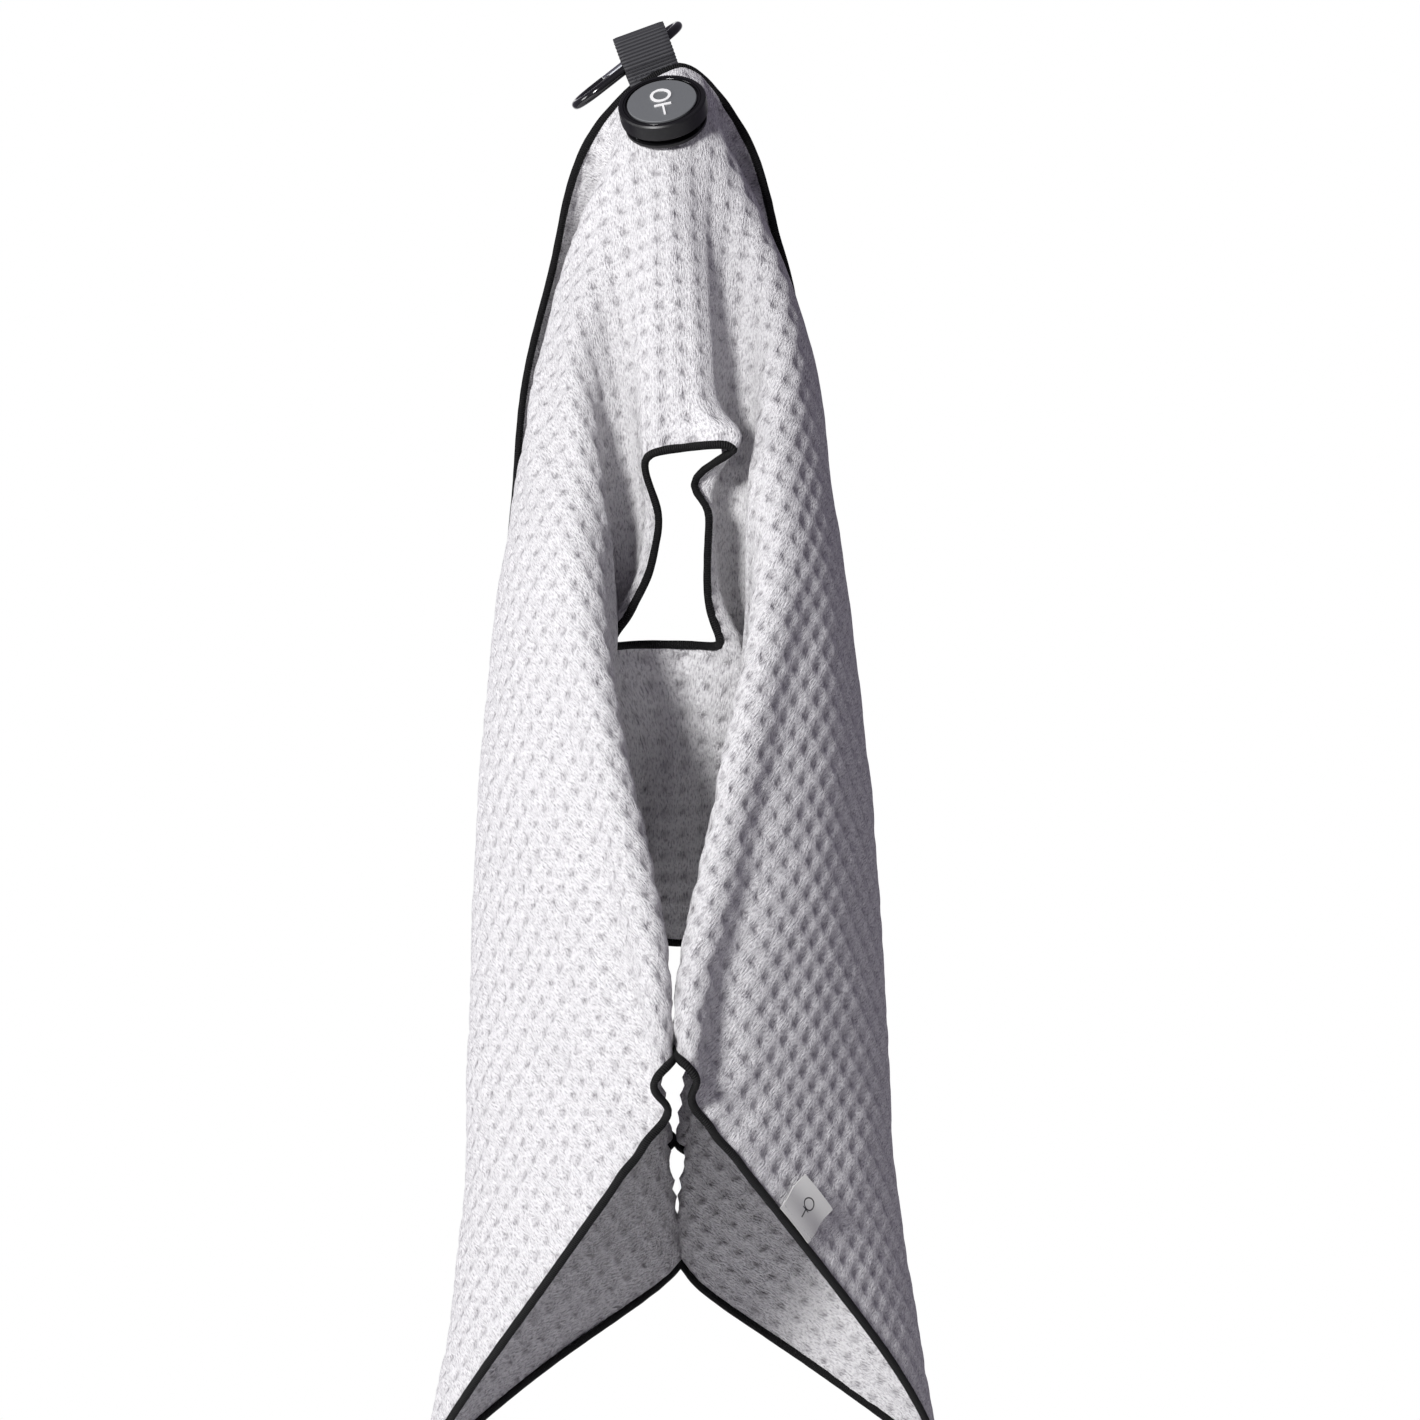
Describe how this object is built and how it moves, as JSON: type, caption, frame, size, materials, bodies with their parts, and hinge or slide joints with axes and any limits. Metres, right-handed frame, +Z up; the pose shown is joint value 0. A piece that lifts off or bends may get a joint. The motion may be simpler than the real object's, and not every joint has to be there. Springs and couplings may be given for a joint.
{
  "type": "golf towel",
  "caption": "Hanging waffle golf towel with a bound edge, central slot, webbing loop, snap hook and a round clamped magnet puck.",
  "frame": {"origin": "centre of the puck's flat rear face, where it sticks to steel", "axes": "+Z up as the towel hangs, -Y towards the side that shows the puck, +X to its right"},
  "size_m": [0.2617, 0.3007, 0.7183],
  "materials": {
    "waffle_cloth": "matt waffle microfibre",
    "black_binding": "overlocked black yarn",
    "black_webbing": "ribbed nylon webbing",
    "black_thread": "polyester thread",
    "white_thread": "polyester thread",
    "label_satin": "satin ribbon",
    "puck_rubber": "satin black",
    "badge_grey": "matt charcoal",
    "trim_gloss": "gloss black",
    "motif_white": "raised white",
    "magnet_nickel": "nickel plate",
    "steel": "zinc plate",
    "hook_black": "black anodised",
    "gate_silver": "satin"
  },
  "bodies": {
    "towel": {"towel_cloth": "waffle_cloth", "outer_hem": "black_binding", "slot_hem": "black_binding", "webbing_loop": "black_webbing", "loop_stitching": "black_thread", "side_label": "label_satin", "label_stitching": "white_thread", "puck_rear_casing": "puck_rubber", "puck_clamp_screws": "steel", "puck_base_shell": "puck_rubber", "puck_front_casing": "puck_rubber", "puck_magnet": "magnet_nickel", "puck_pole_cup": "steel", "puck_badge_disc": "badge_grey", "puck_trim_ring": "trim_gloss", "puck_motif": "motif_white"},
    "hook": {"carabiner_body": "hook_black", "gate_hinge_pin": "steel"},
    "gate": {"carabiner_gate": "gate_silver", "gate_latch_pin": "steel", "gate_spring": "steel", "gate_plunger": "steel"}
  },
  "joints": [
    {"name": "hook_swing", "type": "hinge", "parent": "towel", "child": "hook", "pos_m": [-0.01031, 0.02415, 0.03861], "axis": [0.788, 0, 0.6157], "range_deg": [-70, 150]},
    {"name": "gate_open", "type": "hinge", "parent": "hook", "child": "gate", "pos_m": [-0.01206, 0.04958, 0.0441], "axis": [-0.6022, -0.2079, 0.7708], "range_deg": [0, 25], "stiffness_Nm_per_rad": 0.03, "springref_deg": -20.05}
  ]
}
